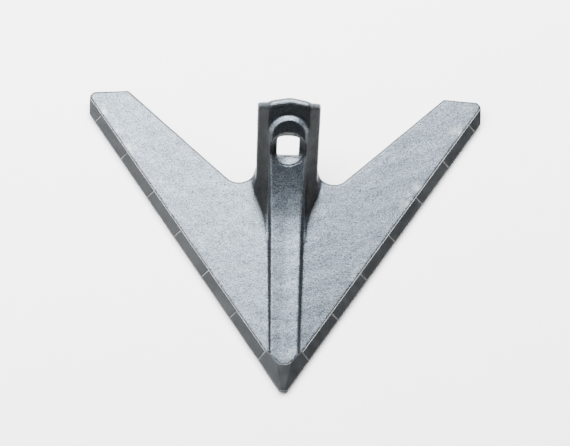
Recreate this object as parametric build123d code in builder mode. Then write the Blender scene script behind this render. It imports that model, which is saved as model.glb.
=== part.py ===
from build123d import *
from math import acos, asin, atan2, cos, degrees, pi, radians, sin, tan
import os

# Cultivator sweep with brazed carbide tiles, in millimetres, +Z up, nose towards -Y.
# Plan distances are measured from the sharp apex, the point where the two cutting
# edges would meet; the origin is the bottom centre of the finished part.

# --- plan of the wings -----------------------------------------------------------
overall_width = 228.0            # over the two wing tips
edge_half_angle = 35.0           # between a cutting edge and the centre line
tip_setback = 2.9                # sharp apex to the blunt tip
tip_corner_radius = 1.2
tip_trim = 12.19                 # straight outer edge of a wing's end, with its chamfer
wing_end_width = 22.3            # width of a wing's end
wing_end_chamfer = 2.2
trailing_angle = 42.7            # trailing edge against the X axis
valley_radius = 9.0              # between a trailing edge and the stem
valley_land = 1.0                # straight side of the wing's root above that rounding

# --- section across a cutting edge -----------------------------------------------
wing_thickness = 7.0
wing_rake = 10.0
lip_height = 1.6                 # steel lip under the tiles
seat_angle = 20.0
tile_width = 5.0
tile_face = 1.5                  # upright front face of a tile
bevel_angle = 32.5
braze_gap = 0.2
tile_recess = 0.1                # tile top below the wing's top

# --- tiles along each edge -------------------------------------------------------
tile_count = 7
nose_seam_at = 23.85             # sharp apex to the first seam, along the edge
last_tile_edge = 6.31            # outer edge of the last tile, before the wing's end trims it
nose_seam_slant = 12.0
seam_width = 0.7

# --- nose tile -------------------------------------------------------------------
notch_corner_x = 8.3
notch_corner_y = 21.7
notch_vertex_y = 13.2
notch_radius = 6.0
nose_land_front = 3.9            # height of the land over the blunt tip
nose_land_back = 6.5             # height of the land at the notch

# --- centre rib and stem ---------------------------------------------------------
rib_start_y = 15.5
rib_start_height = 7.55
rib_slope = 6.8
rib_width_nose = 13.8
rib_width_bend = 15.8
rib_valley = 0.5                 # shallow V along the lower rib
bend_start_y = 88.0
bend_radius = 60.0
stem_angle = 46.0                # stem against the ground
stem_width = 34.4
stem_end_y = 150.5               # sharp apex to the stem's end at its shoulder, unrounded
end_lean = 20.0                  # stem's end against the vertical
tongue_width = 18.0
tongue_height = 2.5              # tongue over the shoulder of the stem
tongue_end = 22.8                # end of the bend to the end of the tongue
wall_draft = 33.0                # rib and tongue side walls
flank_drop = 5.5                 # shoulder to the stem's outer front corner
stem_wall = 5.0                  # shoulder to the bottom of the shank channel
shank_width = 25.0
channel_clearance = 0.5
channel_depth = 5.5
shoulder_radius = 3.0
flank_radius = 2.0
stem_end_radius = 3.5            # rounding of the upper end, kept as flats here
flank_skin = 2.5                 # depth of the front bar at the stem's sides
rib_buried = 4.0                 # rib and tongue root inside the body
bend_steps = 5                   # rib sections along the bend
front_root = 0.12                # share of the bend where the stem's front emerges
back_root = 0.4                  # share of the bend where its back emerges

# --- bolt hole -------------------------------------------------------------------
bolt_hole_at = 5.8               # end of the bend to the hole's centre
square_size = 12.0
square_corner_radius = 1.5
countersink_diameter = 19.4
countersink_rim = 1.2
countersink_angle = 90.0

# --- values worked out from the sizes above --------------------------------------
half_width = overall_width / 2
edge_sin = sin(radians(edge_half_angle))
edge_cos = cos(radians(edge_half_angle))
edge_length = half_width / edge_sin
trim_y = half_width / tan(radians(edge_half_angle))
wing_reach = trim_y + tip_trim             # sharp apex to the ends of the wings
wing_end_inner = half_width - wing_end_width
apex_y = -(tip_setback + wing_reach) / 2
tile_pitch = (edge_length - nose_seam_at - last_tile_edge) / (tile_count - 1)
seat_depth = tile_width + braze_gap
tile_base = lip_height + braze_gap
edge_land = tile_base + tile_face
tile_top = edge_land + tile_width * tan(radians(bevel_angle))
wing_edge_top = tile_top + tile_recess
tall = wing_edge_top + stem_end_y          # clears the whole part upwards
shoulder = -tongue_height                  # depths below the tongue's face
flank_foot = shoulder - flank_drop
channel_floor = shoulder - stem_wall
stem_back = channel_floor - channel_depth
channel_width = shank_width + channel_clearance
wall_run = tan(radians(wall_draft))
half_shoulder = tongue_width / 2 + tongue_height * wall_run
tip_half = tip_setback * tan(radians(edge_half_angle))
notch_angle = degrees(atan2(notch_corner_y - notch_vertex_y, notch_corner_x))


def edge_point(along: float, inward: float) -> tuple[float, float]:
    """Plan point on the right wing, from distances along and in from its edge."""
    return (
        along * edge_sin - inward * edge_cos,
        apex_y + along * edge_cos + inward * edge_sin,
    )


def edge_plane(along: float) -> Plane:
    """Plane square to the right edge, local X inward and local Y up."""
    x, y = edge_point(along, 0)
    return Plane(origin=(x, y, 0), x_dir=(-edge_cos, edge_sin, 0), z_dir=(edge_sin, edge_cos, 0))


def spine_frame(run: float) -> tuple[float, float, float]:
    """Y, Z and slope in degrees of the rib's centre line, at a length from its start."""
    straight = (bend_start_y - rib_start_y) / cos(radians(rib_slope))
    bend = bend_radius * radians(stem_angle - rib_slope)
    lower = min(run, straight)
    y = apex_y + rib_start_y + lower * cos(radians(rib_slope))
    z = rib_start_height + lower * sin(radians(rib_slope))
    slope = rib_slope
    if run > straight:
        turned = min((run - straight) / bend_radius, bend / bend_radius)
        slope = rib_slope + degrees(turned)
        y += bend_radius * (sin(radians(slope)) - sin(radians(rib_slope)))
        z += bend_radius * (cos(radians(rib_slope)) - cos(radians(slope)))
    beyond = max(run - straight - bend, 0)
    return y + beyond * cos(radians(slope)), z + beyond * sin(radians(slope)), slope


straight_run = (bend_start_y - rib_start_y) / cos(radians(rib_slope))
bend_run = bend_radius * radians(stem_angle - rib_slope)
stem_run = straight_run + bend_run         # start of the straight stem


def section_plane(run: float) -> Plane:
    """Plane across the rib or stem, local X across it and local Y out of its face."""
    y, z, slope = spine_frame(run)
    direction = (0, cos(radians(slope)), sin(radians(slope)))
    return Plane(origin=(0, y, z), x_dir=(-1, 0, 0), z_dir=direction)


def face_plane(run: float) -> Plane:
    """Plane on the face of the stem, local X across it and local Y up the stem."""
    y, z, slope = spine_frame(run)
    outward = (0, -sin(radians(slope)), cos(radians(slope)))
    return Plane(origin=(0, y, z), x_dir=(1, 0, 0), z_dir=outward)


def spine(start: float, end: float) -> Curve:
    """Centre line of the stem between two lengths, an arc and a straight."""
    with BuildLine(Plane.YZ) as line:
        y0, z0, slope0 = spine_frame(start)
        y1, z1, slope1 = spine_frame(min(end, stem_run))
        heading = (cos(radians(slope0)), sin(radians(slope0)))
        TangentArc((y0, z0), (y1, z1), tangent=heading)
        if end > stem_run:
            y2, z2, _ = spine_frame(end)
            Line((y1, z1), (y2, z2))
    return line.line


def band_profile(top_drop: float) -> list[tuple[float, float]]:
    """Tile and braze space above the seat, its roof a little below the tile's."""
    seat_rise = seat_depth * tan(radians(seat_angle))
    return [
        (0, lip_height),
        (0, edge_land - top_drop),
        (tile_width, tile_top - top_drop),
        (seat_depth, tile_top - top_drop),
        (seat_depth, lip_height + seat_rise),
    ]


def tile_profile() -> list[tuple[float, float]]:
    """Section of a carbide tile."""
    return [
        (0, tile_base),
        (0, edge_land),
        (tile_width, tile_top),
        (tile_width, tile_base + tile_width * tan(radians(seat_angle))),
    ]


def seam_offset(index: int, inward: float) -> float:
    """How far a seam has moved along the edge, at a distance in from it."""
    return inward * tan(radians(nose_seam_slant)) if index == 0 else 0.0


def cell(start: int, start_gap: float, end: int, end_gap: float) -> list[tuple[float, float]]:
    """Plan of the stretch of the edge between two seams, cut at the wing's tip."""
    overlap = 2.0
    reach_in = seat_depth + overlap
    points = []
    for index, gap, inward in (
        (start, start_gap, -overlap),
        (end, end_gap, -overlap),
        (end, end_gap, reach_in),
        (start, start_gap, reach_in),
    ):
        along = nose_seam_at + index * tile_pitch + gap + seam_offset(index, inward)
        points.append(edge_point(along, inward))
    return points


def nose_outline(seam_margin: float, notch_margin: float) -> list[tuple[float, float]]:
    """Plan round the nose tile, grown by margins at its seams and at its notch."""
    inward = notch_corner_y * edge_sin - notch_corner_x * edge_cos + notch_margin
    along = nose_seam_at - seam_width / 2 + seam_margin
    vertex_y = apex_y + notch_vertex_y + notch_margin / cos(radians(notch_angle))
    right = [
        (tip_half, apex_y + tip_setback),
        edge_point(along, 0),
        edge_point(along + seam_offset(0, inward), inward),
    ]
    left = [(-x, y) for x, y in reversed(right)]
    return right + [(0, vertex_y)] + left


def wing_profile() -> list[tuple[float, float]]:
    """Section of a wing square to its edge, with the lip and the tile seat."""
    far = wing_reach
    slope = tan(radians(wing_rake))
    flat = seat_depth + (wing_thickness - wing_edge_top) / slope
    far_top = wing_edge_top + (far - seat_depth) * slope
    return [
        (0, 0),
        (0, lip_height),
        (seat_depth, lip_height + seat_depth * tan(radians(seat_angle))),
        (seat_depth, wing_edge_top),
        (far, far_top),
        (far, far_top - wing_thickness),
        (flat, 0),
    ]


def wing_plan() -> list[tuple[float, float]]:
    """Right half of the plan, with the corner at the stem left sharp."""
    stem_side = stem_width / 2
    corner_y = wing_reach - (wing_end_inner - stem_side) * tan(radians(trailing_angle))
    root_y = corner_y + valley_radius / tan(radians((90 - trailing_angle) / 2)) + valley_land
    corners = [
        (0, tip_setback),
        (tip_half, tip_setback),
        (half_width, trim_y),
        (half_width, wing_reach - wing_end_chamfer),
        (half_width - wing_end_chamfer, wing_reach),
        (wing_end_inner, wing_reach),
        (stem_side, corner_y),
        (stem_side, root_y),
        (0, root_y),
    ]
    return [(x, apex_y + y) for x, y in corners]


def rib_section(run: float, top_width: float, valley_depth: float) -> Sketch:
    """Trapezoid across the rib, buried below its face, with a shallow V on top."""
    half_top = top_width / 2
    half_foot = half_top + rib_buried * wall_run
    with BuildSketch(section_plane(run)) as section:
        Polygon(
            (-half_foot, -rib_buried),
            (-half_top, 0),
            (0, -valley_depth),
            (half_top, 0),
            (half_foot, -rib_buried),
            align=None,
        )
    return section.sketch


def front_section(run: float) -> Sketch:
    """Front half of the stem's section: flat shoulder with a slope down each side."""
    half_stem = stem_width / 2
    foot = flank_foot - flank_skin
    with BuildSketch(section_plane(run)) as section:
        Polygon(
            (-half_stem, foot),
            (-half_stem, flank_foot),
            (-half_shoulder, shoulder),
            (half_shoulder, shoulder),
            (half_stem, flank_foot),
            (half_stem, foot),
            align=None,
        )
        rows = section.vertices().group_by(Axis.Y)
        fillet(rows[-1], radius=shoulder_radius)
        fillet(rows[-2], radius=flank_radius)
    return section.sketch


def back_section(run: float) -> Sketch:
    """Back half of the stem's section, a plain bar that overlaps the front one."""
    top = flank_foot - (flank_radius + flank_skin) / 2
    with BuildSketch(section_plane(run)) as section:
        with Locations((0, (top + stem_back) / 2)):
            Rectangle(stem_width, top - stem_back)
    return section.sketch


def end_plane() -> Plane:
    """Plane of the stem's end, through its line on the stem's shoulder."""
    foot = face_plane(stem_run).from_local_coords(Vector(0, 0, shoulder))
    climb = apex_y + stem_end_y - foot.Y
    origin = (0, foot.Y + climb, foot.Z + climb * tan(radians(stem_angle)))
    return Plane(origin, z_dir=(0, cos(radians(end_lean)), sin(radians(end_lean))))


def end_flat(face_point: tuple[float, float], face_normal: Vector) -> Plane:
    """Plane that blunts the edge between a face of the stem and its end."""
    end = end_plane()
    wedge = (pi - acos(face_normal.dot(end.z_dir))) / 2
    across, depth = face_point
    face_origin = face_plane(stem_run).from_local_coords(Vector(across, 0, depth))
    climb = (end.origin - face_origin).dot(end.z_dir) / stem_heading.dot(end.z_dir)
    corner = face_origin + stem_heading * climb
    normal = (face_normal + end.z_dir).normalized()
    return Plane(corner - normal * (stem_end_radius / sin(wedge) - stem_end_radius), z_dir=normal)


wing_corners = wing_plan()
tip_corner = Vector(*wing_corners[1], 0)
notch_point = Vector(0, apex_y + notch_vertex_y, 0)
valley_corner = Vector(*wing_corners[6], 0)

with BuildPart() as half_wing:
    with BuildSketch(edge_plane(0)):
        Polygon(*wing_profile(), align=None)
    extrude(amount=edge_length + wing_reach)
    with BuildSketch(Plane.XY) as plan:
        Polygon(*wing_corners, align=None)
        fillet(plan.vertices().sort_by_distance(valley_corner)[0], radius=valley_radius)
        fillet(plan.vertices().sort_by_distance(tip_corner)[0], radius=tip_corner_radius)
    extrude(amount=tall, mode=Mode.INTERSECT)

stem_top_run = stem_run + stem_end_y / cos(radians(stem_angle))
front_start = straight_run + front_root * bend_run
back_start = straight_run + back_root * bend_run
face_normal = face_plane(stem_run).z_dir
stem_heading = face_plane(stem_run).y_dir
slope_run = stem_width / 2 - half_shoulder
slope_tilt = degrees(asin(flank_drop / (flank_drop**2 + slope_run**2) ** 0.5))

with BuildPart() as stem:
    add(sweep(front_section(front_start), path=spine(front_start, stem_top_run)))
    add(sweep(back_section(back_start), path=spine(back_start, stem_top_run)))
    split(bisect_by=end_plane(), keep=Keep.BOTTOM)
    split(bisect_by=end_flat((0, shoulder), face_normal), keep=Keep.BOTTOM)
    for side in (-1, 1):
        leaning = face_normal.rotate(Axis((0, 0, 0), stem_heading), side * slope_tilt)
        split(bisect_by=end_flat((side * half_shoulder, shoulder), leaning), keep=Keep.BOTTOM)

tongue_straight = tongue_end - tongue_width / 2
lower_rib = [
    rib_section(0, rib_width_nose, rib_valley),
    rib_section(straight_run, rib_width_bend, rib_valley),
]
bend_rib = []
for step in range(bend_steps + 1):
    share = step / bend_steps
    width = rib_width_bend + share * (tongue_width - rib_width_bend)
    bend_rib.append(rib_section(straight_run + share * bend_run, width, rib_valley * (1 - share)))
tongue_rib = [
    rib_section(stem_run, tongue_width, 0),
    rib_section(stem_run + tongue_straight, tongue_width, 0),
]

with BuildPart() as sweep_body:
    add(half_wing.part)
    mirror(about=Plane.YZ)
    add(stem.part)
    for sections in (lower_rib, bend_rib, tongue_rib):
        add(loft(sections))
    with Locations(face_plane(stem_run + tongue_straight)):
        Cone(
            bottom_radius=tongue_width / 2 + rib_buried * wall_run,
            top_radius=tongue_width / 2,
            height=rib_buried,
            align=(Align.CENTER, Align.CENTER, Align.MAX),
        )
    # flat back of the stem, and the channel that the shank lies in
    for depth, width in ((stem_back, stem_width), (channel_floor, channel_width)):
        with BuildSketch(face_plane(stem_run).offset(depth)):
            Rectangle(width, 4 * tall)
        extrude(amount=-tall, mode=Mode.SUBTRACT)
    # countersunk square bolt hole
    hole_plane = face_plane(stem_run + bolt_hole_at)
    with BuildSketch(hole_plane):
        RectangleRounded(square_size, square_size, square_corner_radius)
    extrude(amount=2 * channel_floor, mode=Mode.SUBTRACT)
    with Locations(hole_plane):
        Cylinder(
            radius=countersink_diameter / 2,
            height=countersink_rim,
            align=(Align.CENTER, Align.CENTER, Align.MAX),
            mode=Mode.SUBTRACT,
        )
    with Locations(hole_plane.offset(-countersink_rim)):
        Cone(
            bottom_radius=0,
            top_radius=countersink_diameter / 2,
            height=countersink_diameter / 2 / tan(radians(countersink_angle / 2)),
            align=(Align.CENTER, Align.CENTER, Align.MAX),
            mode=Mode.SUBTRACT,
        )
    # seat of the nose tile
    with BuildSketch(Plane.XY.offset(lip_height)) as nose_seat:
        Polygon(*nose_outline(seam_width, braze_gap), align=None)
        fillet(nose_seat.vertices().sort_by_distance(notch_point)[0], radius=notch_radius)
    extrude(amount=tall, mode=Mode.SUBTRACT)


# --- nose tile and its braze -----------------------------------------------------
def roof_planes(drop: float) -> list[Plane]:
    """Two bevels and the centre land over the nose, lowered by a drop."""
    bevel = radians(bevel_angle)
    planes = []
    for side in (-1, 1):
        outward = Vector(side * edge_cos * sin(bevel), -edge_sin * sin(bevel), cos(bevel))
        planes.append(Plane((0, apex_y, edge_land - drop), z_dir=outward))
    climb = (nose_land_back - nose_land_front) / (notch_vertex_y - tip_setback)
    tip_point = (0, apex_y + tip_setback, nose_land_front - drop)
    planes.append(Plane(tip_point, z_dir=Vector(0, -climb, 1)))
    return planes


with BuildPart() as nose_tile:
    with BuildSketch(Plane.XY.offset(tile_base)) as nose_plan:
        Polygon(*nose_outline(0, 0), align=None)
        fillet(nose_plan.vertices().sort_by_distance(notch_point)[0], radius=notch_radius)
        fillet(nose_plan.vertices().group_by(Axis.Y)[0], radius=tip_corner_radius)
    extrude(amount=tall)
    for roof in roof_planes(0):
        split(bisect_by=roof, keep=Keep.BOTTOM)

with BuildPart() as braze_nose:
    with BuildSketch(Plane.XY.offset(lip_height)) as bed_plan:
        Polygon(*nose_outline(seam_width, braze_gap), align=None)
        fillet(bed_plan.vertices().sort_by_distance(notch_point)[0], radius=notch_radius)
        fillet(bed_plan.vertices().group_by(Axis.Y)[0], radius=tip_corner_radius)
    extrude(amount=tall)
    for roof in roof_planes(tile_recess):
        split(bisect_by=roof, keep=Keep.BOTTOM)
    add(nose_tile.part, mode=Mode.SUBTRACT)


# --- edge tiles and their braze --------------------------------------------------
def edge_piece(profile: list[tuple[float, float]], plan: list[tuple[float, float]]) -> Part:
    """Bar of a profile along the right edge, kept inside a plan cell and the wing."""
    with BuildPart() as piece:
        with BuildSketch(edge_plane(0)):
            Polygon(*profile, align=None)
        extrude(amount=edge_length + wing_reach)
        with BuildSketch(Plane.XY):
            Polygon(*plan, align=None)
            Polygon(*wing_corners, align=None, mode=Mode.INTERSECT)
        extrude(amount=tall, mode=Mode.INTERSECT)
    return piece.part


def finish(part: Part, name: str) -> None:
    """Label a piece and write it as a STEP file."""
    part.label = name
    export_step(part, f"parts/{name}.step")


os.makedirs("parts", exist_ok=True)
finish(sweep_body.part, "sweep_body")
finish(nose_tile.part, "nose_tile")
finish(braze_nose.part, "braze_nose")

for number in range(1, tile_count + 1):
    near, far = number - 1, number
    half_seam = seam_width / 2
    with BuildPart() as tile:
        add(edge_piece(tile_profile(), cell(near, half_seam, far, -half_seam)))
    with BuildPart() as braze:
        add(edge_piece(band_profile(tile_recess), cell(near, half_seam, far, half_seam)))
        add(tile.part, mode=Mode.SUBTRACT)
    for kind, right in (("tile", tile), ("braze", braze)):
        finish(right.part, f"{kind}_right_{number}")
        with BuildPart() as left:
            add(right.part)
            mirror(about=Plane.YZ, mode=Mode.REPLACE)
        finish(left.part, f"{kind}_left_{number}")
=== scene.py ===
import logging
import math
from collections.abc import Callable, Iterable
from dataclasses import dataclass, field
from enum import Enum

import bmesh
import bpy
import numpy as np
from mathutils import Matrix, Vector


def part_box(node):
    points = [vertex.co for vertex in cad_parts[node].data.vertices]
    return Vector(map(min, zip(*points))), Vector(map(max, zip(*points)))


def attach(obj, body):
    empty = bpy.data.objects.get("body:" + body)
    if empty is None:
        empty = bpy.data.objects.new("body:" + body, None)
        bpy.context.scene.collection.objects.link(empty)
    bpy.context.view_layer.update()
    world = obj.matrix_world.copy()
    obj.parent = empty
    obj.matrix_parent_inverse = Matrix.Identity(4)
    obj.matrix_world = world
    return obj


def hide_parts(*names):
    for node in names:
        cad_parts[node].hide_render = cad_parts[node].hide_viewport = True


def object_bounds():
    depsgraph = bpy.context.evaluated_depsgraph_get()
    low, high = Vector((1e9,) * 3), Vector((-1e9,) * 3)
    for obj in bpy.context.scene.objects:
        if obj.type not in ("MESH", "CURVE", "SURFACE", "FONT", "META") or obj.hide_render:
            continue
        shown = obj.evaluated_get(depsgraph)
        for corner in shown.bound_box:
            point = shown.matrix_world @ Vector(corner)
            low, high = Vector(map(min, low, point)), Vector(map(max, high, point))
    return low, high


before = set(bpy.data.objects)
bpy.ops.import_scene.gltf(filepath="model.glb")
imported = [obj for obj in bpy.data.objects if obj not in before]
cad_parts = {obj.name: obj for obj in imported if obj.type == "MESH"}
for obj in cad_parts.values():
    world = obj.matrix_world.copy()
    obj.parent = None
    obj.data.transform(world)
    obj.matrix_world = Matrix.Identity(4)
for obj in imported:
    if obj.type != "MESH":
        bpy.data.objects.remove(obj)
CAD_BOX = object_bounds()
LOG = logging.getLogger("sweep")
MM = 0.001                       # millimetres to metres
BODY = "root"                    # the one rigid body that every piece rides on
Field = Callable[[np.ndarray, np.ndarray, np.ndarray], np.ndarray]

# A cultivator sweep with carbide tiles brazed along its edges. Lengths are in
# millimetres until a mesh is made. "along" runs back along a cutting edge from the
# sharp apex of the two edges, "inward" runs in from it, and "reach" is the distance
# behind the apex along the centre line.


class Side(Enum):
    """Which half of the sweep a piece belongs to, seen looking along +Y."""

    LEFT = -1
    RIGHT = 1


class Slot(Enum):
    """Material slots of the record."""

    STEEL = "body_steel"
    CARBIDE = "carbide"
    BRAZE = "braze_metal"


# --- shapes shared by the pieces ----------------------------------------------------
@dataclass(frozen=True)
class EdgeLine:
    """Straight cutting edges and the section that the wings and tiles share."""

    half_angle: float = 35.0
    tip_setback: float = 2.9
    lip_height: float = 1.6
    seat_angle: float = 20.0
    tile_width: float = 5.0
    tile_face: float = 1.5
    bevel_angle: float = 32.5
    braze_gap: float = 0.2
    tile_recess: float = 0.1
    wing_rake: float = 10.0

    @property
    def sin(self) -> float:
        """Sine of the half angle."""
        return math.sin(math.radians(self.half_angle))

    @property
    def cos(self) -> float:
        """Cosine of the half angle."""
        return math.cos(math.radians(self.half_angle))

    @property
    def apex_y(self) -> float:
        """Row Y of the sharp apex, from the front of the frame."""
        return CAD_BOX[0][1] / MM - self.tip_setback

    @property
    def half_width(self) -> float:
        """Centre line to a wing's tip."""
        return CAD_BOX[1][0] / MM

    @property
    def wing_reach(self) -> float:
        """Sharp apex to the ends of the wings."""
        return CAD_BOX[1][1] / MM - self.apex_y

    @property
    def seat_depth(self) -> float:
        """Width of the step that holds tile and braze."""
        return self.tile_width + self.braze_gap

    @property
    def tile_base(self) -> float:
        """Height of the tile's lowest edge."""
        return self.lip_height + self.braze_gap

    @property
    def land_top(self) -> float:
        """Height of the top of the tile's front face."""
        return self.tile_base + self.tile_face

    @property
    def tile_top(self) -> float:
        """Height of the tile's inner top edge."""
        return self.land_top + self.tile_width * math.tan(math.radians(self.bevel_angle))

    @property
    def wing_edge_top(self) -> float:
        """Height of the wing where it meets the tile."""
        return self.tile_top + self.tile_recess


@dataclass(frozen=True)
class Spine:
    """Centre line of rib and stem in the YZ plane: straight, bend, straight."""

    start_reach: float = 15.5
    start_height: float = 7.55
    slope: float = 6.8
    bend_reach: float = 88.0
    bend_radius: float = 60.0
    stem_angle: float = 46.0

    @property
    def straight(self) -> float:
        """Length of the lower straight."""
        return (self.bend_reach - self.start_reach) / math.cos(math.radians(self.slope))

    @property
    def stem_run(self) -> float:
        """Run at which the straight stem begins."""
        return self.straight + self.bend_radius * math.radians(self.stem_angle - self.slope)

    @property
    def centre(self) -> tuple[float, float]:
        """Reach and height of the bend's centre, in millimetres."""
        low = math.radians(self.slope)
        height = self.start_height + (self.bend_reach - self.start_reach) * math.tan(low)
        return (
            self.bend_reach - self.bend_radius * math.sin(low),
            height + self.bend_radius * math.cos(low),
        )

    def local(self, reach: np.ndarray, height: np.ndarray) -> tuple[np.ndarray, np.ndarray]:
        """Measures points beside the spine.

        Args:
            reach: distances behind the apex.
            height: heights.

        Returns:
            Run along the spine and distance out of its face.
        """
        low, high = math.radians(self.slope), math.radians(self.stem_angle)
        across, up = reach - self.centre[0], height - self.centre[1]
        angle = np.arctan2(across, -up)
        run = self.straight + self.bend_radius * (angle - low)
        out = self.bend_radius - np.hypot(across, up)
        for flat, mask, base in (
            (low, angle < low, self.straight),
            (high, angle > high, self.stem_run),
        ):
            along = across * math.cos(flat) + up * math.sin(flat)
            off = self.bend_radius - across * math.sin(flat) + up * math.cos(flat)
            run = np.where(mask, base + along, run)
            out = np.where(mask, off, out)
        return run, out

    def stem_local(self, reach: np.ndarray, height: np.ndarray) -> tuple[np.ndarray, np.ndarray]:
        """Measures points from the plane of the straight stem alone.

        Args:
            reach: distances behind the apex.
            height: heights.

        Returns:
            Run along the plane and distance out of it.
        """
        high = math.radians(self.stem_angle)
        across, up = reach - self.centre[0], height - self.centre[1]
        along = across * math.cos(high) + up * math.sin(high)
        off = self.bend_radius - across * math.sin(high) + up * math.cos(high)
        return self.stem_run + along, off


def fade(value: np.ndarray, low: float, high: float) -> np.ndarray:
    """Share that grows from 0 at the low value to 1 at the high one."""
    return np.clip((value - low) / (high - low), 0, 1)


def round_max(a: np.ndarray, b: np.ndarray, radius: float, cosine: float = 0.0) -> np.ndarray:
    """Distance to the overlap of two regions, its edge rounded to a radius.

    Args:
        a: signed distance to the first region.
        b: signed distance to the second region.
        radius: radius of the edge.
        cosine: cosine of the angle between the two faces' normals.

    Returns:
        Signed distance to the rounded overlap.
    """
    p, q = a + radius, b + radius
    inside = (p - cosine * q > 0) & (q - cosine * p > 0)
    spread = (p * p + q * q - 2 * cosine * p * q) / (1 - cosine * cosine)
    return np.where(inside, np.sqrt(np.maximum(spread, 0)) - radius, np.maximum(a, b))


def blend_min(a: np.ndarray, b: np.ndarray, reach: float) -> np.ndarray:
    """Distance to the union of two regions, with a soft fillet of a given reach.

    Args:
        a: signed distance to the first region.
        b: signed distance to the second region.
        reach: difference of the two distances within which they blend.

    Returns:
        Signed distance to the blended union.
    """
    share = np.clip(0.5 + 0.5 * (b - a) / reach, 0, 1)
    return b + share * (a - b) - reach * share * (1 - share)


def ripple(
    x: np.ndarray, y: np.ndarray, z: np.ndarray, wavelength: float, seed: int, waves: int = 7
) -> np.ndarray:
    """Smooth unevenness between about -1 and 1, a sum of plane waves.

    Args:
        x: X of the points.
        y: Y of the points.
        z: Z of the points.
        wavelength: middle length of the waves.
        seed: seed of their headings.
        waves: number of waves.

    Returns:
        Height of the unevenness at each point.
    """
    rng = np.random.default_rng(seed)
    total = np.zeros_like(x)
    for _ in range(waves):
        heading = rng.normal(size=3)
        heading *= rng.uniform(0.7, 1.4) * 2 * math.pi / wavelength / np.linalg.norm(heading)
        total += np.sin(heading[0] * x + heading[1] * y + heading[2] * z + rng.uniform(0, 6.28))
    return total / math.sqrt(waves)


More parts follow.
